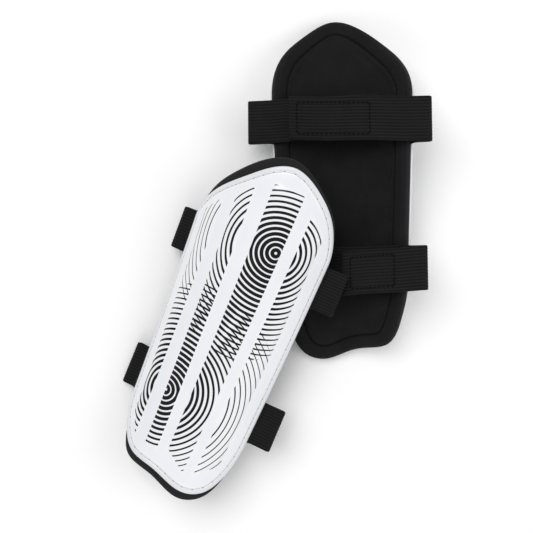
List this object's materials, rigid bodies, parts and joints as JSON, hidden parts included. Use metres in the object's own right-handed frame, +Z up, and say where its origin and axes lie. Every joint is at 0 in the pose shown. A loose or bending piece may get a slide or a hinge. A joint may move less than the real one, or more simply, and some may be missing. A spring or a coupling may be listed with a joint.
{
  "type": "pair of shin guards",
  "caption": "Pair of hard-shell shin guards, white ribbed shells over black foam pads, with elastic hook-and-loop straps that close across the hollow",
  "frame": {"origin": "centre of the bounding box's bottom, on the surface that the pair lies on", "axes": "+Z up from that surface, +Y along the pair's longest extent towards guard B's top end, +X to the right"},
  "size_m": [0.2114, 0.3296, 0.0693],
  "materials": {
    "shell_white": "smooth semi-gloss moulded plastic with printed ring pattern on the ribs",
    "foam_black": "closed-cell foam with a fine knit face",
    "lining_black": "fine matt knit",
    "thread_grey": "clear-grey sewing thread",
    "webbing_black": "ribbed elastic webbing",
    "loop_tape": "brushed loop pile",
    "hook_tape": "moulded hooks on a woven backing",
    "thread_black": "black sewing thread"
  },
  "bodies": {
    "guard_b": {"guard_b_shell": "shell_white", "guard_b_foam_pad": "foam_black", "guard_b_lining": "lining_black", "guard_b_rim_stitching": "thread_grey", "guard_b_upper_loop_strap": "webbing_black", "guard_b_upper_loop_patch": "loop_tape", "guard_b_upper_hook_strap_root": "webbing_black", "guard_b_lower_loop_strap": "webbing_black", "guard_b_lower_loop_patch": "loop_tape", "guard_b_lower_hook_strap_root": "webbing_black"},
    "guard_a": {"guard_a_shell": "shell_white", "guard_a_foam_pad": "foam_black", "guard_a_lining": "lining_black", "guard_a_rim_stitching": "thread_grey", "guard_a_upper_loop_strap": "webbing_black", "guard_a_upper_loop_patch": "loop_tape", "guard_a_upper_hook_strap_root": "webbing_black", "guard_a_upper_hook_strap_tab": "webbing_black", "guard_a_upper_hook_patch": "hook_tape", "guard_a_upper_hook_patch_stitching": "thread_black", "guard_a_lower_loop_strap": "webbing_black", "guard_a_lower_loop_patch": "loop_tape", "guard_a_lower_hook_strap_root": "webbing_black"},
    "guard_a_lower_tab": {"guard_a_lower_hook_strap_tab": "webbing_black", "guard_a_lower_hook_patch": "hook_tape", "guard_a_lower_hook_patch_stitching": "thread_black"},
    "guard_b_upper_tab": {"guard_b_upper_hook_strap_tab": "webbing_black", "guard_b_upper_hook_patch": "hook_tape", "guard_b_upper_hook_patch_stitching": "thread_black"},
    "guard_b_lower_tab": {"guard_b_lower_hook_strap_tab": "webbing_black", "guard_b_lower_hook_patch": "hook_tape", "guard_b_lower_hook_patch_stitching": "thread_black"}
  },
  "joints": [
    {"name": "lift_guard_a", "type": "slide", "parent": "guard_b", "child": "guard_a", "axis": [0, 0, 1], "range_m": [0, 0.15]},
    {"name": "peel_guard_a_lower_tab", "type": "hinge", "parent": "guard_a", "child": "guard_a_lower_tab", "pos_m": [-0.09695, -0.07629, 0.00445], "axis": [0.3829, 0.9207, 0.0751], "range_deg": [0, 160], "deforming": ["guard_a_lower_hook_strap_root"]},
    {"name": "peel_guard_b_upper_tab", "type": "hinge", "parent": "guard_b", "child": "guard_b_upper_tab", "pos_m": [0.10224, 0.09322, 0.0487], "axis": [-0.0081, 0.999, -0.044], "range_deg": [0, 160], "deforming": ["guard_b_upper_hook_strap_root"]},
    {"name": "peel_guard_b_lower_tab", "type": "hinge", "parent": "guard_b", "child": "guard_b_lower_tab", "pos_m": [0.10041, -0.0086, 0.04351], "axis": [-0.0286, 0.9982, 0.0528], "range_deg": [0, 160], "deforming": ["guard_b_lower_hook_strap_root"]}
  ]
}
